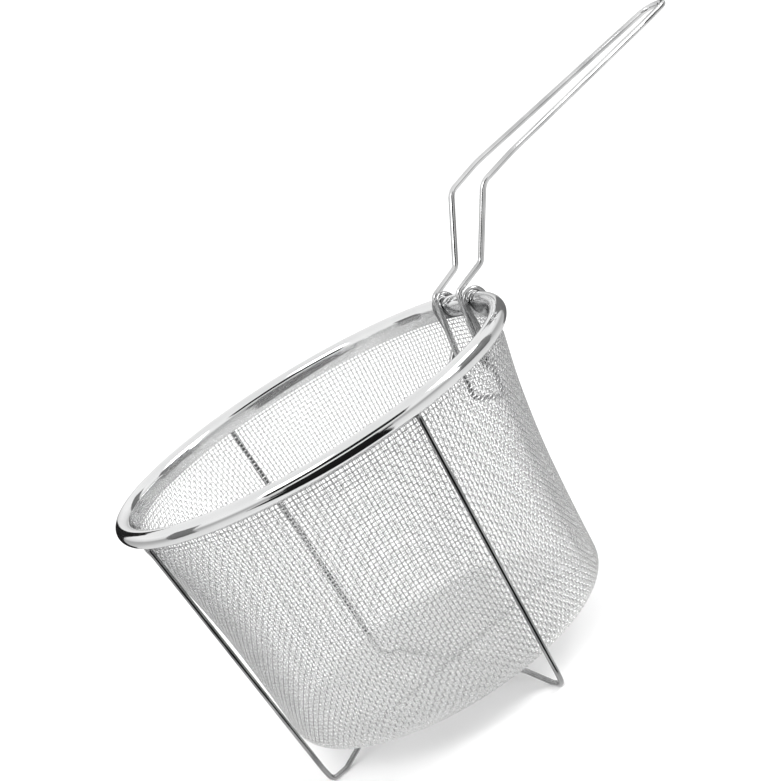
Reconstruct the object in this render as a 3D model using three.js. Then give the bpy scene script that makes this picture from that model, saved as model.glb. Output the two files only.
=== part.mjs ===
// A round wire-mesh frying and straining basket: a rolled rim, a woven mesh bowl on two crossed
// support wires, and a bent wire handle that folds into the basket about a wire bracket.
//
// Millimetres, +Z up. The origin is on the basket's axis, at the underside of the crossing of the
// two support wires. The handle points along +X, and the object mirrors about the XZ plane.

import * as THREE from 'three';

// ---- driving dimensions ---------------------------------------------------------------------

const RIM_RADIUS = 100; // outside of the rolled rim
const RIM_Z = 137.6; // centre of the roll's round section
const ROLL_RADIUS = 4.1; // outside of the roll's round section
const SHEET = 0.5; // thickness of the rim's strip
const BAND_DEPTH = 5.6; // from the roll's centre down to the strip's inner edge
const LIP_TURN = 100; // degrees that the strip curls below the horizontal on the outside

const GAP = 0.3; // clearance between pieces that touch in the real object
const MESH_THICKNESS = 1.0; // two woven wires, one over the other

const SUPPORT_RADIUS = 1.2;
const HANDLE_RADIUS = 1.5;
const BRACKET_RADIUS = 1.2;

const FOOT_RADIUS = 78; // how far out the feet stand
const FOOT_DROP = 4; // how far the feet reach below the origin

const PIVOT_DEPTH = 26; // handle pins below the roll's centre
const PIVOT_X = 84.8; // handle pins, close to the inside of the mesh
const LEVER_HALF_GAP = 11; // handle wires between the bracket legs, either side of y = 0
const GRIP_HALF_GAP = 16; // handle wires where they are furthest apart
const TIP_HALF_GAP = 8.2; // handle wires where the rounded end starts
const HANDLE_REACH = 278.8; // handle's tip
const HANDLE_TIP_RISE = 63.7; // handle's tip above the roll's centre

const LEG_HALF_GAP = 14.1; // bracket legs, either side of y = 0
const BRACKET_DEPTH = 45; // bracket's lower cross bar below the roll's centre

// ---- resolution -----------------------------------------------------------------------------

const RING_SEGMENTS = 72;
const WIRE_SIDES = 8;
const BEND_STEP = 18; // degrees of bend for each ring of a wire
const ROLL_STEP = 20; // degrees for each point round the roll

// ---- finishes -------------------------------------------------------------------------------

const FINISHES = {
  polished: { color: 0xd9dadb, metalness: 1, roughness: 0.12 },
  bright_wire: { color: 0xcfd0d2, metalness: 1, roughness: 0.22 },
  woven: { color: 0xc4c5c7, metalness: 1, roughness: 0.35 },
};

// ---- small helpers --------------------------------------------------------------------------

const radians = THREE.MathUtils.degToRad;
const point = (x, y, z) => new THREE.Vector3(x, y, z);

function namedMesh(name, geometry, finish) {
  const mesh = new THREE.Mesh(geometry, new THREE.MeshStandardMaterial(FINISHES[finish]));
  mesh.name = name;
  return mesh;
}

// Points of a round arc in the (radius, height) plane, degrees measured from outward to upward.
function arc(centreR, centreZ, radius, from, to, step) {
  const count = Math.max(2, Math.ceil(Math.abs(to - from) / step));
  return Array.from({ length: count + 1 }, (_, i) => {
    const angle = radians(from + ((to - from) * i) / count);
    return new THREE.Vector2(centreR + radius * Math.cos(angle), centreZ + radius * Math.sin(angle));
  });
}

// A closed outline turned about the Z axis. The outline runs anticlockwise, seen with radius to the
// right and height upward, so that the faces point out.
function turned(name, outline, finish) {
  const isClosed = outline[0].x < 1e-6 || outline[0].equals(outline.at(-1));
  const loop = isClosed ? outline : [...outline, outline[0].clone()];
  const geometry = new THREE.LatheGeometry(loop, RING_SEGMENTS);
  geometry.rotateX(Math.PI / 2);
  return namedMesh(name, geometry, finish);
}

// A wire's centre line: straight runs, with a ring of the wire at each of its points.
class WireRoute extends THREE.Curve {
  constructor(points) {
    super();
    this.points = points;
  }

  getPoint(t, target = new THREE.Vector3()) {
    const place = THREE.MathUtils.clamp(t, 0, 1) * (this.points.length - 1);
    const index = Math.min(Math.floor(place), this.points.length - 2);
    return target.lerpVectors(this.points[index], this.points[index + 1], place - index);
  }

  getPointAt(u, target) {
    return this.getPoint(u, target);
  }

  getTangentAt(u, target) {
    return this.getTangent(u, target);
  }

  getSpacedPoints(divisions) {
    return this.getPoints(divisions);
  }
}

// Rounds the corners of a route. Each entry is [point, bend radius], and ends need no radius.
function rounded(route) {
  const out = [route[0][0]];
  for (let i = 1; i < route.length - 1; i += 1) {
    const [corner, radius] = route[i];
    const back = route[i - 1][0].clone().sub(corner).normalize();
    const ahead = route[i + 1][0].clone().sub(corner).normalize();
    const turn = Math.PI - back.angleTo(ahead);
    const axis = back.clone().cross(ahead).normalize();
    const start = corner.clone().addScaledVector(back, radius * Math.tan(turn / 2));
    const centre = start.clone().addScaledVector(back.clone().cross(axis).negate(), radius);
    const steps = Math.max(1, Math.ceil(THREE.MathUtils.radToDeg(turn) / BEND_STEP));
    for (let k = 0; k <= steps; k += 1) {
      const spoke = start.clone().sub(centre).applyAxisAngle(axis, (-turn * k) / steps);
      out.push(spoke.add(centre));
    }
  }
  out.push(route.at(-1)[0]);
  return out;
}

// A round wire along a route, as a prism with flat sides square to the route's plane.
function wire(name, points, radius, finish) {
  const section = new THREE.Shape();
  for (let i = 0; i < WIRE_SIDES; i += 1) {
    const angle = ((i + 0.5) / WIRE_SIDES) * 2 * Math.PI;
    const move = i === 0 ? 'moveTo' : 'lineTo';
    section[move](radius * Math.cos(angle), radius * Math.sin(angle));
  }
  section.closePath();
  const options = { steps: points.length - 1, extrudePath: new WireRoute(points), bevelEnabled: false };
  return namedMesh(name, new THREE.ExtrudeGeometry(section, options), finish);
}

// ---- rim ------------------------------------------------------------------------------------

const ROLL_CENTRE = RIM_RADIUS - ROLL_RADIUS;
const BAND_INNER = ROLL_CENTRE - ROLL_RADIUS;
const BAND_OUTER = BAND_INNER + SHEET;
const BAND_BOTTOM = RIM_Z - BAND_DEPTH;

// One strip: an inner band, rolled over the core wire and curled under on the outside.
function rimStrip() {
  const outline = [
    new THREE.Vector2(BAND_INNER, BAND_BOTTOM),
    new THREE.Vector2(BAND_OUTER, BAND_BOTTOM),
    ...arc(ROLL_CENTRE, RIM_Z, ROLL_RADIUS - SHEET, 180, -LIP_TURN, ROLL_STEP),
    ...arc(ROLL_CENTRE, RIM_Z, ROLL_RADIUS, -LIP_TURN, 180, ROLL_STEP),
  ];
  return turned('rim_strip', outline, 'polished');
}

function rimCoreWire() {
  const radius = ROLL_RADIUS - SHEET - GAP;
  const outline = arc(ROLL_CENTRE, RIM_Z, radius, -180, 180, ROLL_STEP * 2);
  return turned('rim_core_wire', outline.slice(0, -1), 'bright_wire');
}

// ---- mesh -----------------------------------------------------------------------------------

const MESH_TOP = RIM_Z - 3;
const MESH_OUTER_TOP = BAND_OUTER + GAP + MESH_THICKNESS;
const MESH_CORNER_RADIUS = 8;
const MESH_FLOOR_EDGE = 80.6; // radius of the wall where it turns into the floor
const MESH_FLOOR_Z = 3 * GAP + 4 * SUPPORT_RADIUS; // floor's lowest point, on the upper support wire
const MESH_FLOOR_SAG = 4.5; // how much the floor hangs below its edge
const FLARE_DEPTH = 10.5; // from the roll's centre down to where the wall starts to draw in
const WALL_POINTS = 10;
const FLOOR_POINTS = 5;

// Outer face of the mesh, from its top edge down to the middle of the floor.
function meshOutline() {
  const edgeZ = MESH_FLOOR_Z + MESH_FLOOR_SAG;
  const cornerZ = edgeZ + MESH_CORNER_RADIUS;
  const flare = new THREE.SplineCurve([
    new THREE.Vector2(MESH_OUTER_TOP, RIM_Z - FLARE_DEPTH),
    new THREE.Vector2(88.4, RIM_Z - 35),
    new THREE.Vector2(84.2, RIM_Z - 65),
    new THREE.Vector2(81.9, RIM_Z - 95),
    new THREE.Vector2(MESH_FLOOR_EDGE, cornerZ),
  ]);
  const cornerR = MESH_FLOOR_EDGE - MESH_CORNER_RADIUS;
  const floorSlope = THREE.MathUtils.radToDeg(Math.atan((2 * MESH_FLOOR_SAG) / cornerR));
  const corner = arc(cornerR, cornerZ, MESH_CORNER_RADIUS, 0, floorSlope - 90, 18);
  const rimOfFloor = corner.at(-1);
  const floor = Array.from({ length: FLOOR_POINTS }, (_, i) => {
    const share = 1 - (i + 1) / FLOOR_POINTS;
    const drop = (rimOfFloor.y - MESH_FLOOR_Z) * (1 - share * share);
    return new THREE.Vector2(rimOfFloor.x * share, rimOfFloor.y - drop);
  });
  const top = new THREE.Vector2(MESH_OUTER_TOP, MESH_TOP);
  return [top, ...flare.getPoints(WALL_POINTS), ...corner.slice(1), ...floor];
}

// The mesh as a thin closed shell, open at the top.
function meshBasket() {
  const outer = meshOutline();
  const inner = outer.map((p, i) => {
    const before = outer[Math.max(i - 1, 0)];
    const after = outer[Math.min(i + 1, outer.length - 1)];
    const along = after.clone().sub(before).normalize();
    const inward = new THREE.Vector2(along.y, -along.x);
    const isAxis = i === outer.length - 1;
    const isTop = i === 0;
    if (isAxis) return new THREE.Vector2(0, p.y + MESH_THICKNESS);
    if (isTop) return new THREE.Vector2(p.x - MESH_THICKNESS, p.y);
    return p.clone().addScaledVector(inward, MESH_THICKNESS);
  });
  return turned('mesh_basket', [...outer.reverse(), ...inner], 'woven');
}

// ---- support wires --------------------------------------------------------------------------

const SUPPORT_TOP = RIM_Z - ROLL_RADIUS - GAP;
const SUPPORT_TOP_RADIUS = 95.4;
const FLOOR_RUN = 57; // half of the straight run under the mesh floor
const FOOT_BEND = 3.2;
const LEG_SHOULDER = 83.2; // where a leg meets its foot bend

// One wire: down a leg, round a foot, across under the floor and up the other side.
function supportRoute(floorZ, alongAxis) {
  const footZ = SUPPORT_RADIUS - FOOT_DROP;
  const half = [
    [SUPPORT_TOP_RADIUS, SUPPORT_TOP, 0],
    [LEG_SHOULDER, footZ + 2 * FOOT_BEND, 30],
    [LEG_SHOULDER - 1.2, footZ, FOOT_BEND],
    [FOOT_RADIUS - 4, footZ, 6],
    [FLOOR_RUN, floorZ, 10],
  ];
  const other = half.map(([r, z, bend]) => [-r, z, bend]).reverse();
  return [...half, ...other].map(([r, z, bend]) => [alongAxis(r, z), bend]);
}

function supportWires() {
  const lowerZ = SUPPORT_RADIUS * Math.cos(Math.PI / WIRE_SIDES);
  const upperZ = lowerZ + 2 * SUPPORT_RADIUS + GAP;
  const alongHandle = supportRoute(upperZ, (r, z) => point(r, 0, z));
  const acrossHandle = supportRoute(lowerZ, (r, z) => point(0, r, z));
  return [
    wire('support_wire_along', rounded(alongHandle), SUPPORT_RADIUS, 'bright_wire'),
    wire('support_wire_across', rounded(acrossHandle), SUPPORT_RADIUS, 'bright_wire'),
  ];
}

// ---- bracket --------------------------------------------------------------------------------

const PIVOT_Z = RIM_Z - PIVOT_DEPTH;
const HOOK_OVERHANG = 2; // how far a hook's end reaches below the roll's centre, outside the rim

// One side of the bracket: over the rim, down inside, round the near side of a handle pin, and on
// down the mesh.
function bracketSide() {
  const y = LEG_HALF_GAP;
  const clear = GAP + BRACKET_RADIUS;
  const topZ = RIM_Z + ROLL_RADIUS + clear;
  const outerX = Math.sqrt(RIM_RADIUS ** 2 - y ** 2) + clear;
  const innerX = Math.sqrt(BAND_INNER ** 2 - (y + BRACKET_RADIUS) ** 2) - clear;
  const hookBend = (outerX - innerX) / 2 - 0.05;
  const loop = HANDLE_RADIUS + clear;
  return [
    [point(outerX, y, RIM_Z - HOOK_OVERHANG)],
    [point(outerX, y, topZ), hookBend],
    [point(innerX, y, topZ), hookBend],
    [point(innerX, y, RIM_Z - FLARE_DEPTH), 12],
    [point(PIVOT_X + 2.6, y, PIVOT_Z + 6.4), 2.4],
    [point(PIVOT_X - 1.42 * loop, y, PIVOT_Z), loop],
    [point(PIVOT_X + 0.3, y, PIVOT_Z - 4.2), 2.4],
    [point(PIVOT_X - 1.8, y, RIM_Z - BRACKET_DEPTH), 4],
  ];
}

function bracketWire() {
  const half = bracketSide();
  const other = half.map(([p, bend]) => [point(p.x, -p.y, p.z), bend]).reverse();
  return wire('bracket_wire', rounded([...half, ...other]), BRACKET_RADIUS, 'bright_wire');
}

// ---- handle ---------------------------------------------------------------------------------

const PIN_REACH = 20; // outer ends of the handle's pins, either side of y = 0
const GRIP_BEND = 60; // radius of the grip's two slight bends

// The handle is one wire: a pin, a lever over the rim, the grip's two long runs, and back.
function handleWire() {
  const rise = (z) => RIM_Z + z;
  const half = [
    [point(PIVOT_X, PIN_REACH, PIVOT_Z)],
    [point(PIVOT_X, LEVER_HALF_GAP, PIVOT_Z), 2.6],
    [point(90.4, LEVER_HALF_GAP, rise(7.1)), 3.5],
    [point(108.8, LEVER_HALF_GAP + 0.7, rise(12.4)), 5.5],
    [point(129.3, GRIP_HALF_GAP - 1.2, rise(43)), 8],
    [point(150, GRIP_HALF_GAP, rise(47.4)), GRIP_BEND],
    [point(HANDLE_REACH - 21, TIP_HALF_GAP + 2, rise(HANDLE_TIP_RISE - 2.8)), GRIP_BEND],
    [point(HANDLE_REACH, TIP_HALF_GAP, rise(HANDLE_TIP_RISE)), TIP_HALF_GAP - 1.2],
  ];
  const other = half.map(([p, bend]) => [point(p.x, -p.y, p.z), bend]).reverse();
  return wire('handle_wire', rounded([...half, ...other]), HANDLE_RADIUS, 'bright_wire');
}

// ---- assembly -------------------------------------------------------------------------------

const basket = new THREE.Group();
basket.name = 'basket_strainer';
basket.add(rimStrip(), rimCoreWire(), meshBasket(), ...supportWires(), bracketWire(), handleWire());

export default basket;
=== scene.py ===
"""A wire-mesh basket with a rolled rim, two support wires, a bracket and a folding wire handle."""

import math

import bpy
import numpy as np
from mathutils import Matrix, Vector


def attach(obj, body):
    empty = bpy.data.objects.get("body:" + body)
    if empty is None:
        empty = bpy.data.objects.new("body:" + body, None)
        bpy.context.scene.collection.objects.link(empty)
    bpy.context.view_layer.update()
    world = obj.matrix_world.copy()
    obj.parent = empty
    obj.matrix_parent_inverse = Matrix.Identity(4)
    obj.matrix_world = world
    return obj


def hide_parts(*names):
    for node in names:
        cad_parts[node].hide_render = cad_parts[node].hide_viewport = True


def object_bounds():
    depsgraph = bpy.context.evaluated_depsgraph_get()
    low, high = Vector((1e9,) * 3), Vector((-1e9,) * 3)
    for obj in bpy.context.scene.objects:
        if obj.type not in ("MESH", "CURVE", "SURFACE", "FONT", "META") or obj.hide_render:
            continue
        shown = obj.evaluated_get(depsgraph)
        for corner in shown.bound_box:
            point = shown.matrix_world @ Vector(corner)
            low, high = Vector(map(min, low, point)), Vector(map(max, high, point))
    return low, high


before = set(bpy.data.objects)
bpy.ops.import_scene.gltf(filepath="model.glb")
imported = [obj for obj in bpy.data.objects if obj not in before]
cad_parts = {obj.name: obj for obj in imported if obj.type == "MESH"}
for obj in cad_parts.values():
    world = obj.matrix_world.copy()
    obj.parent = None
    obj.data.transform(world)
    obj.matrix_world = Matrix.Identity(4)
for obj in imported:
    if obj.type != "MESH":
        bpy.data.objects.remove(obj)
cad_low, cad_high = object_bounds()

# All lengths are in metres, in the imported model's frame: +Z is the basket's axis, +X the handle's side.
RIM_Z = 0.1376
ROLL_CENTRE = 0.0959
ROLL_RADIUS = 0.0041
SHEET = 0.0005
BAND_INNER = 0.0918
BAND_BOTTOM = 0.1320
LIP_TURN = math.radians(100)
CORE_RADIUS = 0.0025

WIRE_STEP = 0.004
SUPPORT_RADIUS = 0.0012
SUPPORT_ACROSS_Z = 0.0012
SUPPORT_ALONG_Z = 0.0038087
FOOT_Z = -0.0028
BRACKET_RADIUS = 0.0012
BRACKET_SIDE = 0.0141
HOOK_BEND = 0.00569
PIVOT_X = 0.0848
PIVOT_Z = 0.1116
HANDLE_RADIUS = 0.0015

# The mesh: its thickness as a sheet, the radius of its wires, how far they rise and fall from the middle
# of the sheet, the distance between them, and how many cells the square grid on the floor has each way.
MESH_THICKNESS = 0.001
MESH_WIRE = 0.00025
CRIMP = 0.00025
PITCH = 0.002
FLOOR_CELLS = 68
# How the crossings are spaced: the rings that may slide, the steps taken, and each step's share of the
# way to balance. The springs between neighbours are at rest at a share of the pitch, so that all pull.
LOOSE_RINGS = 30
SPACING_STEPS = 300
STEP_SHARE = 1.6
REST_SHARE = 0.7

# The outside of the mesh, as radius and height.
WALL_TOP = (0.0936, 0.1346)
WALL_POINTS = ((0.0936, 0.1271), (0.0884, 0.1026), (0.0842, 0.0726), (0.0819, 0.0426), (0.0806, 0.0182))
CORNER_RADIUS = 0.008
FLOOR_RADIUS = 0.0726
FLOOR_CENTRE_Z = 0.0057
FLOOR_CROWN = 0.0045


# ---------------------------------------------------------------- mesh helpers


def mesh_object(name, vertices, faces, smooth=True):
    """A mesh object from arrays of points and of four-cornered faces."""
    mesh = bpy.data.meshes.new(name)
    vertices = np.asarray(vertices, dtype=np.float32)
    faces = np.asarray(faces, dtype=np.int32)
    mesh.vertices.add(len(vertices))
    mesh.vertices.foreach_set("co", vertices.ravel())
    mesh.loops.add(faces.size)
    mesh.loops.foreach_set("vertex_index", faces.ravel())
    mesh.polygons.add(len(faces))
    mesh.polygons.foreach_set("loop_start", np.arange(0, faces.size, faces.shape[1], dtype=np.int32))
    mesh.update(calc_edges=True)
    mesh.validate()
    mesh.polygons.foreach_set("use_smooth", np.full(len(mesh.polygons), smooth))
    piece = bpy.data.objects.new(name, mesh)
    bpy.context.scene.collection.objects.link(piece)
    return piece


def add_uv(piece, name, per_vertex):
    """A UV layer that takes one pair of numbers for each vertex."""
    layer = piece.data.uv_layers.new(name=name)
    index = np.empty(len(piece.data.loops), dtype=np.int32)
    piece.data.loops.foreach_get("vertex_index", index)
    layer.data.foreach_set("uv", np.asarray(per_vertex, dtype=np.float32)[index].ravel())


def ring_faces(rings, around, closed_along=False):
    """Faces between neighbouring rings of points, facing out for rings that turn left round the way along."""
    last = rings if closed_along else rings - 1
    ring = np.arange(last)[:, None]
    spot = np.arange(around)[None, :]
    here = ring * around + spot
    side = ring * around + (spot + 1) % around
    ahead = ((ring + 1) % rings) * around
    return np.stack((here, side, ahead + (spot + 1) % around, ahead + spot), axis=-1).reshape(-1, 4)


def unit(vectors):
    """The vectors at length 1."""
    return vectors / np.maximum(np.linalg.norm(vectors, axis=-1, keepdims=True), 1e-12)


def arc_points(corner, before, after, radius, step):
    """The points of a bend of one radius that rounds a corner between two straight runs."""
    back = unit(before - corner)
    on = unit(after - corner)
    half = math.acos(max(-1.0, min(1.0, float(back @ on)))) / 2
    if math.pi / 2 - half < 1e-4:
        return [corner]
    reach = radius / math.tan(half)
    centre = corner + unit(back + on) * radius / math.sin(half)
    start = corner + back * reach - centre
    finish = corner + on * reach - centre
    turn = math.pi - 2 * half
    count = max(2, math.ceil(turn / step))
    points = []
    for k in range(count + 1):
        a = turn * k / count
        mixed = (start * math.sin(turn - a) + finish * math.sin(a)) / math.sin(turn)
        points.append(centre + mixed)
    return points


def rounded_route(route, step=math.radians(6)):
    """A route of (point, bend radius) as closely spaced points, with each corner rounded."""
    points = [np.array(p, dtype=float) for p, _ in route]
    out = [points[0]]
    for k in range(1, len(points) - 1):
        out.extend(arc_points(points[k], points[k - 1], points[k + 1], route[k][1], step))
    out.append(points[-1])
    return np.array(out)


def resample(points, spacing):
    """Points added along the straight runs, so that no step is longer than the spacing."""
    out = [points[0]]
    for a, b in zip(points[:-1], points[1:]):
        count = max(1, math.ceil(np.linalg.norm(b - a) / spacing))
        out.extend(a + (b - a) * k / count for k in range(1, count + 1))
    return np.array(out)


def carried_frames(points):
    """The direction of travel at each point, and two directions across it that don't twist."""
    ahead = unit(np.gradient(points, axis=0))
    side = np.cross(ahead[0], (0.0, 0.0, 1.0))
    if np.linalg.norm(side) < 0.1:
        side = np.cross(ahead[0], (0.0, 1.0, 0.0))
    side = unit(side)
    sides = []
    for direction in ahead:
        side = unit(side - direction * (side @ direction))
        sides.append(side)
    sides = np.array(sides)
    return ahead, sides, np.cross(ahead, sides)


def wire_object(name, route, radius, around=20, end_chamfer=0.25):
    """A round wire along a route of (point, bend radius), with chamfered and closed ends."""
    points = resample(rounded_route(route), WIRE_STEP)
    ahead, side, up = carried_frames(points)
    chamfer = radius * end_chamfer
    first = [points[0], points[0], points[0] + ahead[0] * chamfer]
    last = [points[-1] - ahead[-1] * chamfer, points[-1], points[-1]]
    centres = np.concatenate((first, points[1:-1], last))
    shaft = np.full(len(points) - 2, radius)
    radii = np.concatenate(((0.0, radius - chamfer, radius), shaft, (radius, radius - chamfer, 0.0)))
    repeat = np.concatenate(((0, 0, 0), np.arange(1, len(points) - 1), (-1, -1, -1))).astype(int)
    side, up = side[repeat], up[repeat]
    turn = np.linspace(0, 2 * math.pi, around, endpoint=False)
    ring = np.cos(turn)[None, :, None] * side[:, None, :] + np.sin(turn)[None, :, None] * up[:, None, :]
    vertices = centres[:, None, :] + ring * radii[:, None, None]
    piece = mesh_object(name, vertices.reshape(-1, 3), ring_faces(len(centres), around))
    length = np.concatenate(((0.0,), np.cumsum(np.linalg.norm(np.diff(centres, axis=0), axis=1))))
    across = np.abs(turn - math.pi) * radius
    grid = np.stack(np.broadcast_arrays(across[None, :], length[:, None]), axis=-1)
    add_uv(piece, "Metres", grid.reshape(-1, 2))
    return piece


def mirrored(half, axis):
    """A route from its half: the same points again, in reverse, on the other side of the middle."""
    flip = np.ones(3)
    flip[axis] = -1
    return half + [(tuple(np.array(p) * flip), bend) for p, bend in reversed(half)]


# ------------------------------------------------------------------- materials


class Nodes:
    """A short way to add nodes to a material and link them."""

    def __init__(self, name):
        self.material = bpy.data.materials.new(name)
        self.material.use_nodes = True
        self.tree = self.material.node_tree
        self.shader = self.tree.nodes["Principled BSDF"]

    def add(self, kind, settings=None, **inputs):
        node = self.tree.nodes.new(kind)
        for key, value in (settings or {}).items():
            setattr(node, key, value)
        for key, value in inputs.items():
            self.put(value, node.inputs[key.replace("_", " ")])
        return node

    def put(self, value, socket):
        if isinstance(value, bpy.types.NodeSocket):
            self.tree.links.new(value, socket)
        else:
            socket.default_value = value

    def maths(self, operation, a, b):
        node = self.add("ShaderNodeMath", {"operation": operation})
        self.put(a, node.inputs[0])
        self.put(b, node.inputs[1])
        return node.outputs[0]

    def mapped(self, source, scale):
        node = self.add("ShaderNodeVectorMath", {"operation": "MULTIPLY"})
        self.put(source, node.inputs[0])
        node.inputs[1].default_value = scale
        return node.outputs[0]

    def noise(self, vector, scale, detail=2.0):
        node = self.add("ShaderNodeTexNoise", Vector=vector, Scale=scale, Detail=detail)
        return node.outputs["Fac"]

    def stretch(self, value, low, high):
        """Noise, which keeps near its middle, brought into the whole of a range."""
        node = self.add("ShaderNodeMapRange", Value=value)
        node.inputs["From Min"].default_value = 0.3
        node.inputs["From Max"].default_value = 0.7
        node.inputs["To Min"].default_value = low
        node.inputs["To Max"].default_value = high
        return node.outputs["Result"]

    def between(self, factor, dark, light):
        node = self.add("ShaderNodeMix", {"data_type": "RGBA"})
        self.put(factor, node.inputs[0])
        node.inputs[6].default_value = (*dark, 1)
        node.inputs[7].default_value = (*light, 1)
        return node.outputs[2]

    def bump(self, height, distance, strength):
        node = self.add("ShaderNodeBump", Height=height, Distance=distance, Strength=strength)
        return node.outputs["Normal"]


def steel(name, dark, light, rough, grain_scale, grain_height):
    """Stainless steel with polishing or drawing lines that run along the second way of its UV layer."""
    made = Nodes(name)
    grain = made.add("ShaderNodeUVMap", {"uv_map": "Metres"}).outputs["UV"]
    position = made.add("ShaderNodeTexCoord").outputs["Object"]
    lines = made.noise(made.mapped(grain, grain_scale), 1.0, 3.0)
    blotch = made.noise(position, 60.0, 2.0)
    tone = made.maths("ADD", made.maths("MULTIPLY", lines, 0.4), made.maths("MULTIPLY", blotch, 0.6))
    made.put(made.between(made.stretch(tone, 0.0, 1.0), dark, light), made.shader.inputs["Base Color"])
    made.put(made.stretch(lines, *rough), made.shader.inputs["Roughness"])
    made.put(made.bump(lines, grain_height, 0.5), made.shader.inputs["Normal"])
    made.shader.inputs["Metallic"].default_value = 1.0
    return made.material


def woven_steel(name):
    """The fine wire of the mesh, with painted shade darker towards the rim, whose tone varies from place to
    place.
    """
    made = Nodes(name)
    position = made.add("ShaderNodeTexCoord").outputs["Object"]
    blotch = made.maths("MULTIPLY", made.noise(position, 35.0, 3.0), 0.6)
    tone = made.maths("ADD", blotch, made.maths("MULTIPLY", made.noise(position, 900.0, 1.0), 0.4))
    # Painted shade: the colour is lightest low down and darkens up the wall towards the rim.
    height = made.add("ShaderNodeSeparateXYZ", Vector=position).outputs["Z"]
    graded = 0.6
    painted_shade_by_height = made.maths("SUBTRACT", graded, made.maths("MULTIPLY", height, graded / WALL_TOP[1]))
    factor = made.maths("ADD", painted_shade_by_height, made.stretch(tone, 0.0, 1 - graded))
    made.put(made.between(factor, (0.82, 0.824, 0.828), (1.0, 1.0, 0.997)), made.shader.inputs["Base Color"])
    made.put(made.stretch(tone, 0.30, 0.20), made.shader.inputs["Roughness"])
    made.shader.inputs["Metallic"].default_value = 1.0
    return made.material


rim_steel = steel("polished_rim_steel", (0.84, 0.844, 0.848), (0.92, 0.922, 0.922), (0.05, 0.11),
                  (9000.0, 60.0, 1.0), 0.00001)
handle_steel = steel("bright_wire_steel", (0.50, 0.503, 0.506), (0.95, 0.952, 0.952), (0.04, 0.10),
                     (1100.0, 18.0, 1.0), 0.00002)
frame_steel = steel("drawn_wire_steel", (0.16, 0.162, 0.165), (0.62, 0.622, 0.622), (0.08, 0.18),
                    (1100.0, 18.0, 1.0), 0.00002)
mesh_steel = woven_steel("woven_mesh_steel")


def finish_piece(piece, material, slot, *nodes):
    """Everything that each visible piece needs: its material, its body, and the hiding of the model's parts
    that it stands for.
    """
    piece.data.materials.clear()
    piece.data.materials.append(material)
    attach(piece, "handle" if nodes == ("handle_wire",) else "basket")
    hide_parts(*nodes)


# ------------------------------------------------------------------ woven mesh


def spline_through(points, per_span):
    """A smooth curve through points, as a Catmull-Rom spline with its ends carried on."""
    p = np.array([points[0], *points, points[-1]], dtype=float)
    out = []
    t = np.linspace(0, 1, per_span, endpoint=False)[:, None]
    for k in range(1, len(p) - 2):
        a, b, c, d = p[k - 1 : k + 3]
        m0, m1 = (c - a) / 2, (d - b) / 2
        out.append((2 * b - 2 * c + m0 + m1) * t**3 + (3 * c - 3 * b - 2 * m0 - m1) * t**2 + m0 * t + b)
    return np.concatenate((*out, p[-2:-1]))


def basket_profile():
    """Radius, height and outward normal of the middle of the mesh, against the way along from the centre."""
    slope = math.atan(2 * FLOOR_CROWN / FLOOR_RADIUS)
    wall = spline_through(WALL_POINTS, 24)
    centre = np.array((WALL_POINTS[-1][0] - CORNER_RADIUS, WALL_POINTS[-1][1]))
    turn = np.linspace(0, slope - math.pi / 2, 24)[1:]
    corner = centre + CORNER_RADIUS * np.column_stack((np.cos(turn), np.sin(turn)))
    reach = np.linspace(corner[-1][0], 0, 60)[1:]
    lift = FLOOR_CENTRE_Z - corner[-1][1]
    floor = np.column_stack((reach, FLOOR_CENTRE_Z - lift * (reach / corner[-1][0]) ** 2))
    outline = np.concatenate(((WALL_TOP,), wall, corner, floor))[::-1]
    way = unit(np.gradient(outline, axis=0))
    way[0] = (1, 0)
    normal = np.column_stack((way[:, 1], -way[:, 0]))
    middle = outline - normal * MESH_THICKNESS / 2
    middle[0][0] = 0
    along = np.concatenate(((0,), np.cumsum(np.linalg.norm(np.diff(middle, axis=0), axis=1))))
    return along, middle, normal


ALONG, MIDDLE, NORMAL = basket_profile()
TOP = ALONG[-1]


def on_basket(flat):
    """Points of the mesh surface, and its normals, from points of the sheet laid out flat from the centre."""
    s = np.linalg.norm(flat, axis=1)
    heading = flat / np.maximum(s, 1e-9)[:, None]
    r, z = (np.interp(s, ALONG, MIDDLE[:, k]) for k in (0, 1))
    nr, nz = (np.interp(s, ALONG, NORMAL[:, k]) for k in (0, 1))
    points = np.column_stack((heading * r[:, None], z))
    normals = np.column_stack((heading * nr[:, None], nz))
    return points, unit(normals), s, r, heading


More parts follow.
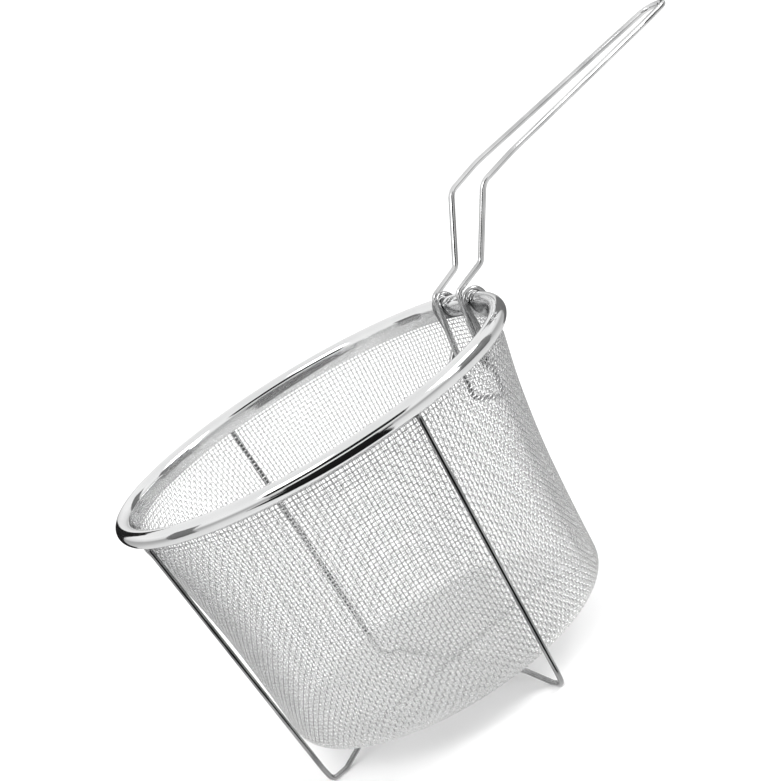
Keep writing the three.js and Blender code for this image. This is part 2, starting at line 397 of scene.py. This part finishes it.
def woven_nodes():
    """Where the wires cross: a square grid on the floor, and rings and uprights on the wall.

    Each crossing is (i, j) in the floor's grid, or (side, i, ring) outside it. The grid's edge is ring 0.
    The crossings near the floor are let slide over the surface until neighbours are evenly spaced."""
    n = FLOOR_CELLS
    half = n / 2
    rings = int((TOP - half * PITCH) / PITCH)
    around = 4 * n
    grid = np.stack(np.meshgrid(np.arange(n + 1), np.arange(n + 1), indexing="ij"), axis=-1).reshape(-1, 2)
    u, v = (grid / half - 1).T
    disc = np.column_stack((u * np.sqrt(1 - v * v / 2), v * np.sqrt(1 - u * u / 2)))
    square_reach = TOP - rings * PITCH
    flat = [disc * square_reach]
    grid_id = np.arange((n + 1) ** 2).reshape(n + 1, n + 1)
    edge = np.concatenate((grid_id[:n, 0], grid_id[n, :n], grid_id[n:0:-1, n], grid_id[0, n:0:-1]))
    ring_id = [edge]
    start = np.arctan2(flat[0][edge, 1], flat[0][edge, 0])
    even = start[0] + np.arange(around) * 2 * math.pi / around
    start = np.unwrap(start)
    for k in range(1, rings + 1):
        blend = min(1, k / LOOSE_RINGS)
        turn = start + (even - start) * blend * blend * (3 - 2 * blend)
        reach = square_reach + k * PITCH
        flat.append(reach * np.column_stack((np.cos(turn), np.sin(turn))))
        ring_id.append((n + 1) ** 2 + (k - 1) * around + np.arange(around))
    flat = np.concatenate(flat)
    ring_id = np.array(ring_id)

    loose = min(rings, LOOSE_RINGS)
    pairs = [
        (grid_id[:-1].ravel(), grid_id[1:].ravel()),
        (grid_id[:, :-1].ravel(), grid_id[:, 1:].ravel()),
        (ring_id[1 : loose + 1].ravel(), np.roll(ring_id[1 : loose + 1], -1, axis=1).ravel()),
        (ring_id[:loose].ravel(), ring_id[1 : loose + 1].ravel()),
    ]
    a = np.concatenate([p[0] for p in pairs])
    b = np.concatenate([p[1] for p in pairs])
    count = ring_id[loose].max() + 1
    free = np.ones(count, dtype=bool)
    free[ring_id[loose]] = False
    neighbours = np.bincount(a, minlength=count) + np.bincount(b, minlength=count)
    for _ in range(SPACING_STEPS):
        points, normals, s, r, heading = on_basket(flat[:count])
        gap = points[b] - points[a]
        length = np.linalg.norm(gap, axis=1)
        pull = gap * ((1 - PITCH * REST_SHARE / length) / 2)[:, None]
        push = np.column_stack(
            [np.bincount(a, pull[:, k], count) - np.bincount(b, pull[:, k], count) for k in range(3)]
        )
        push = push / neighbours[:, None] * STEP_SHARE
        tangent = np.column_stack((-heading[:, 1], heading[:, 0], np.zeros(count)))
        meridian = np.cross(normals, tangent)
        outward = heading * np.einsum("ij,ij->i", push, meridian)[:, None]
        swing = np.einsum("ij,ij->i", push, tangent) * s / np.maximum(r, 1e-4)
        step = outward + tangent[:, :2] * swing[:, None]
        near_pole = s < PITCH
        step[near_pole] = push[near_pole, :2]
        flat[:count][free] += step[free]
    return grid_id, ring_id, flat


def woven_wires():
    """Each wire of the mesh as the crossings it passes, the side it passes them on, and if it is a ring."""
    n = FLOOR_CELLS
    grid_id, ring_id, flat = woven_nodes()
    rings = len(ring_id) - 1
    up = np.arange(1, rings + 1)
    down = up[::-1]
    wires = {"along_x": [], "along_y": [], "rings": []}
    for i in range(1, n):
        path = np.concatenate((ring_id[down, i], grid_id[i], ring_id[up, 3 * n - i]))
        sign = (-1.0) ** (i + np.arange(len(path)) + rings)
        wires["along_y"].append((path, sign, False))
        path = np.concatenate((ring_id[down, 4 * n - i], grid_id[:, i], ring_id[up, n + i]))
        sign = -((-1.0) ** (i + np.arange(len(path)) + rings))
        wires["along_x"].append((path, sign, False))
    side_sign = np.repeat((-1.0, 1.0, -1.0, 1.0), n)
    index = np.concatenate((np.arange(n), n + np.arange(n), n - np.arange(n) + n, n - np.arange(n)))
    for k in range(rings + 1):
        wires["rings"].append((ring_id[k], side_sign * (-1.0) ** (index + k), True))
    for corner in range(4):
        path = ring_id[:, corner * n]
        wires["along_y"].append((path, (-1.0) ** np.arange(len(path)), False))
    return wires, flat


def weave(name, wires, points, normals, around=6):
    """One mesh piece of crimped wires that pass over and under each other."""
    all_vertices, all_faces = [], []
    count = 0
    turn = np.linspace(0, 2 * math.pi, around, endpoint=False) + math.pi / around
    for path, sign, closed in wires:
        p, nrm = points[path], normals[path]
        ahead = np.roll(p, -1, axis=0) - p
        behind = np.roll(p, 1, axis=0) - p
        if not closed:
            ahead[-1] = -behind[-1]
            behind[0] = -ahead[0]
        lifted = p + nrm * (sign * CRIMP)[:, None]
        centres = np.stack((lifted + behind / 4, lifted + ahead / 4), axis=1).reshape(-1, 3)
        up = np.repeat(nrm, 2, axis=0)
        way = np.repeat(unit(ahead - behind), 2, axis=0)
        side = unit(np.cross(way, up))
        ring = np.cos(turn)[None, :, None] * side[:, None] - np.sin(turn)[None, :, None] * up[:, None]
        vertices = centres[:, None] + ring * MESH_WIRE
        all_vertices.append(vertices.reshape(-1, 3))
        all_faces.append(ring_faces(len(centres), around, closed) + count)
        count += len(centres) * around
    vertices = np.concatenate(all_vertices)
    piece = mesh_object(name, vertices, np.concatenate(all_faces))
    angle = np.arctan2(vertices[:, 1], vertices[:, 0]) / (2 * math.pi) + 0.5
    add_uv(piece, "OFBake", np.column_stack((angle, vertices[:, 2] / WALL_TOP[1])))
    finish_piece(piece, mesh_steel, "woven_mesh", "mesh_basket")


def build_mesh():
    wires, flat = woven_wires()
    points, normals = on_basket(flat)[:2]
    for name, share in (("along_x", 2), ("along_y", 2), ("rings", 3)):
        group = wires[name]
        cuts = np.linspace(0, len(group), share + 1).astype(int)
        for k in range(share):
            weave(f"mesh_{name}_{k + 1}", group[cuts[k] : cuts[k + 1]], points, normals)


build_mesh()


# ------------------------------------------------------------------------- rim


def arc(centre, radius, start, finish, count):
    """Points of (radius, height) on an arc."""
    turn = np.linspace(start, finish, count)
    return np.column_stack((centre[0] + radius * np.cos(turn), centre[1] + radius * np.sin(turn)))


def turned(name, outline, segments=288):
    """A ring from a closed outline of (radius, height) that runs anticlockwise."""
    outline = np.asarray(outline)
    turn = np.linspace(0, 2 * math.pi, segments, endpoint=False)
    r, z = outline[:, 0][None, :], outline[:, 1][None, :]
    vertices = np.stack(
        np.broadcast_arrays(r * np.cos(turn)[:, None], r * np.sin(turn)[:, None], z), axis=-1
    )
    piece = mesh_object(name, vertices.reshape(-1, 3), ring_faces(segments, len(outline), True))
    steps = np.linalg.norm(np.diff(outline, axis=0, append=outline[:1]), axis=1)
    across = np.concatenate(((0,), np.cumsum(steps)[:-1]))
    around = np.abs(turn - math.pi) * ROLL_CENTRE
    add_uv(piece, "Metres", np.stack(np.broadcast_arrays(across[None], around[:, None]), -1).reshape(-1, 2))
    return piece


def build_rim():
    """The strip, from its foot up round the inside of the roll and back round the outside, and the core."""
    centre = (ROLL_CENTRE, RIM_Z)
    inner = arc(centre, ROLL_RADIUS - SHEET, math.pi, -LIP_TURN, 60)
    outer = arc(centre, ROLL_RADIUS, -LIP_TURN, math.pi, 68)
    edge = SHEET / 4
    foot = [
        (BAND_INNER + edge, BAND_BOTTOM),
        (BAND_INNER + SHEET - edge, BAND_BOTTOM),
        (BAND_INNER + SHEET, BAND_BOTTOM + edge),
    ]
    head = [(BAND_INNER, BAND_BOTTOM + edge)]
    outline = np.concatenate((foot, inner, outer, head))
    rim = turned("rim_roll_and_band", outline)
    finish_piece(rim, rim_steel, "polished_rim", "rim_strip")

    core = turned("rim_core", arc(centre, CORE_RADIUS, 0, 2 * math.pi, 21)[:-1], 144)
    finish_piece(core, frame_steel, "bright_wire", "rim_core_wire")


build_rim()


# ----------------------------------------------------------------------- wires


def support(name, node, height, across):
    """A support wire down one side of the basket, under its floor between two feet, and up the other."""
    half = [
        ((0.0954, 0.1336), 0),
        ((0.0832, 0.0036), 0.030),
        ((0.0820, FOOT_Z), 0.0032),
        ((0.0740, FOOT_Z), 0.006),
        ((0.0570, height), 0.010),
    ]
    half = [((0, r, z) if across else (r, 0, z), bend) for (r, z), bend in half]
    piece = wire_object(name, mirrored(half, 1 if across else 0), SUPPORT_RADIUS)
    finish_piece(piece, frame_steel, "bright_wire", node)


support("support_wire_across_round", "support_wire_across", SUPPORT_ACROSS_Z, True)
support("support_wire_along_round", "support_wire_along", SUPPORT_ALONG_Z, False)

# One leg of the bracket, from its end outside the rim, over the roll and down the inside to the cross run.
bracket_half = [
    ((x, BRACKET_SIDE, z), bend)
    for x, z, bend in (
        (0.1005, 0.1356, 0),
        (0.1005, 0.1432, HOOK_BEND),
        (0.08902, 0.1432, HOOK_BEND),
        (0.08902, 0.1271, 0.012),
        (0.0874, 0.1180, 0.0024),
        (0.08054, PIVOT_Z, 0.0030),
        (0.0851, 0.1074, 0.0024),
        (0.0830, 0.0926, 0.0030),
    )
]
bracket = wire_object("bracket_wire_round", mirrored(bracket_half, 1), BRACKET_RADIUS)
finish_piece(bracket, frame_steel, "bright_wire", "bracket_wire")

# One side of the handle, from the end of its pin, up over the rim and along the grip to the tip.
handle_half = [
    ((PIVOT_X, 0.0200, PIVOT_Z), 0),
    ((PIVOT_X, 0.0110, PIVOT_Z), 0.0026),
    ((0.0904, 0.0110, 0.1447), 0.0035),
    ((0.1088, 0.0117, 0.1500), 0.0055),
    ((0.1293, 0.0148, 0.1806), 0.008),
    ((0.1500, 0.0160, 0.1850), 0.060),
    ((0.2578, 0.0102, 0.1985), 0.060),
    ((0.2788, 0.0082, 0.2013), 0.007),
]
handle = wire_object("handle_wire_round", mirrored(handle_half, 1), HANDLE_RADIUS, 24)
finish_piece(handle, handle_steel, "bright_wire", "handle_wire")


# ----------------------------------------------------------------------- stage


FLOOR_HALF_SIDE = 6.0
SKY_BRIGHTNESS = 1.08
# What shiny surfaces see of the sky: (place, brightness), from straight down at 0 to straight up at 1.
SKY_REFLECTED = (
    (0.0, 0.90), (0.28, 0.75), (0.40, 0.50), (0.50, 0.42), (0.56, 0.75), (0.66, 0.95), (1.0, 0.85),
)
PHOTO_SIDE = 244.5
BASKET_TOP = (0, 0, RIM_Z)
HANDLE_FOOT = (0.12, 0, 0.165)

CAMERA_PLACE = (-0.29797, -0.71142, 0.30405)
CAMERA_RIGHT = (0.7255, -0.4720, -0.5009)
CAMERA_BACK = (-0.4188, -0.8803, 0.2229)
CAMERA_LENS = 81.44


def flat_rectangle(name, half_width, half_height, z=0):
    """A level rectangle about the Z axis."""
    w, h = half_width, half_height
    return mesh_object(name, [(-w, -h, z), (w, -h, z), (w, h, z), (-w, h, z)], [(0, 1, 2, 3)], False)


def turned_to(place, aim):
    """The rotation of a card or a lamp that faces a point."""
    return (Vector(aim) - Vector(place)).to_track_quat("-Z", "Y").to_euler()


def at_angle(angle, distance, z):
    """The point at an angle round the basket's axis, in degrees, and a distance from it."""
    return (distance * math.cos(math.radians(angle)), distance * math.sin(math.radians(angle)), z)


def build_floor():
    """A plain pale floor under the feet. Shiny surfaces see the lower half of the sky instead of it."""
    floor = flat_rectangle("floor", FLOOR_HALF_SIDE, FLOOR_HALF_SIDE, cad_low.z)
    paint = Nodes("floor_paint")
    speckle = paint.noise(paint.add("ShaderNodeTexCoord").outputs["Object"], 3.0)
    colour = paint.between(speckle, (0.96, 0.96, 0.96), (0.975, 0.975, 0.975))
    paint.put(colour, paint.shader.inputs["Base Color"])
    paint.shader.inputs["Roughness"].default_value = 0.9
    paint.shader.inputs["Specular IOR Level"].default_value = 0.1
    floor.data.materials.append(paint.material)
    floor.visible_glossy = False


def build_sky():
    """Soft light that is even all round, but has a darker horizon where shiny surfaces reflect it."""
    world = bpy.data.worlds.new("studio")
    bpy.context.scene.world = world
    world.use_nodes = True
    tree = world.node_tree
    background = tree.nodes["Background"]
    direction = tree.nodes.new("ShaderNodeTexCoord")
    split = tree.nodes.new("ShaderNodeSeparateXYZ")
    ramp = tree.nodes.new("ShaderNodeValToRGB")
    level = tree.nodes.new("ShaderNodeMapRange")
    level.inputs["From Min"].default_value = -1
    tree.links.new(direction.outputs["Generated"], split.inputs[0])
    tree.links.new(split.outputs["Z"], level.inputs["Value"])
    tree.links.new(level.outputs["Result"], ramp.inputs["Fac"])
    stops = ramp.color_ramp.elements
    stops.remove(stops[1])
    stops[0].position = SKY_REFLECTED[0][0]
    stops[0].color = (SKY_REFLECTED[0][1],) * 3 + (1,)
    for place, bright in SKY_REFLECTED[1:]:
        stops.new(place).color = (bright, bright, bright, 1)
    path = tree.nodes.new("ShaderNodeLightPath")
    mix = tree.nodes.new("ShaderNodeMix")
    mix.data_type = "RGBA"
    tree.links.new(path.outputs["Is Glossy Ray"], mix.inputs[0])
    mix.inputs[6].default_value = (SKY_BRIGHTNESS,) * 3 + (1,)
    tree.links.new(ramp.outputs["Color"], mix.inputs[7])
    tree.links.new(mix.outputs[2], background.inputs["Color"])
    background.inputs["Strength"].default_value = 1.0


def card_paint(name, level):
    """A dull grey or black paint."""
    made = Nodes(name)
    made.shader.inputs["Base Color"].default_value = (level, level, level, 1)
    made.shader.inputs["Roughness"].default_value = 1.0
    made.shader.inputs["Specular IOR Level"].default_value = 0.0
    return made.material


def dark_card(name, place, aim, size, paint):
    """A flat dark card that only shiny surfaces see, as a photographer's flag out of the picture."""
    flag = flat_rectangle(name, size[0] / 2, size[1] / 2)
    flag.location = place
    flag.rotation_euler = turned_to(place, aim)
    flag.data.materials.append(paint)
    flag.visible_camera = False
    flag.visible_diffuse = False
    flag.visible_shadow = False


def build_cards():
    """Dark cards round the basket, for the dark bands that the rim and the wires reflect."""
    black = card_paint("card_black", 0.01)
    grey = card_paint("card_grey", 0.13)
    above = at_angle(PHOTO_SIDE, 0.50, 1)
    for name, angle, distance, z, aim, size, paint in (
        ("card_front_low", PHOTO_SIDE, 0.50, -0.05, above, (0.50, 0.60), black),
        ("card_front", PHOTO_SIDE, 1.0, 0.04, BASKET_TOP, (0.95, 0.44), black),
        ("card_front_wide", PHOTO_SIDE, 0.98, -0.10, BASKET_TOP, (1.30, 0.22), black),
        ("card_high", 251, 0.95, 0.73, HANDLE_FOOT, (1.7, 0.50), black),
        ("card_left", 158, 1.0, 0.20, BASKET_TOP, (0.34, 0.8), grey),
        ("card_right", 340, 1.0, 0.20, BASKET_TOP, (0.60, 0.8), grey),
        ("card_back_left", 95, 1.0, 0.20, BASKET_TOP, (0.34, 0.9), black),
        ("card_back_right", 35, 1.0, 0.20, BASKET_TOP, (0.34, 0.9), grey),
    ):
        dark_card(name, at_angle(angle, distance, z), aim, size, paint)


def softbox(name, place, power):
    """A large soft lamp that faces the basket."""
    data = bpy.data.lights.new(name, "AREA")
    data.shape = "RECTANGLE"
    data.size = data.size_y = 0.9
    data.energy = power
    lamp = bpy.data.objects.new(name, data)
    bpy.context.scene.collection.objects.link(lamp)
    lamp.location = place
    lamp.rotation_euler = turned_to(place, (0, 0, 0.1))


def build_camera():
    """A camera at the photograph's viewing angle, rolled as the basket is tilted there."""
    right = Vector(CAMERA_RIGHT).normalized()
    back = Vector(CAMERA_BACK).normalized()
    up = back.cross(right)
    data = bpy.data.cameras.new("camera")
    data.lens = CAMERA_LENS
    data.sensor_width = 36
    camera = bpy.data.objects.new("camera", data)
    bpy.context.scene.collection.objects.link(camera)
    turn = Matrix((right, up, back)).transposed().to_4x4()
    camera.matrix_world = Matrix.Translation(CAMERA_PLACE) @ turn
    data.clip_start, data.clip_end = 0.01, 100
    bpy.context.scene.camera = camera


build_floor()
build_sky()
build_cards()
softbox("key", (-0.9, -0.7, 1.5), 7)
softbox("fill", (1.2, -0.6, 0.7), 14)
build_camera()
bpy.context.scene.view_settings.view_transform = "Standard"
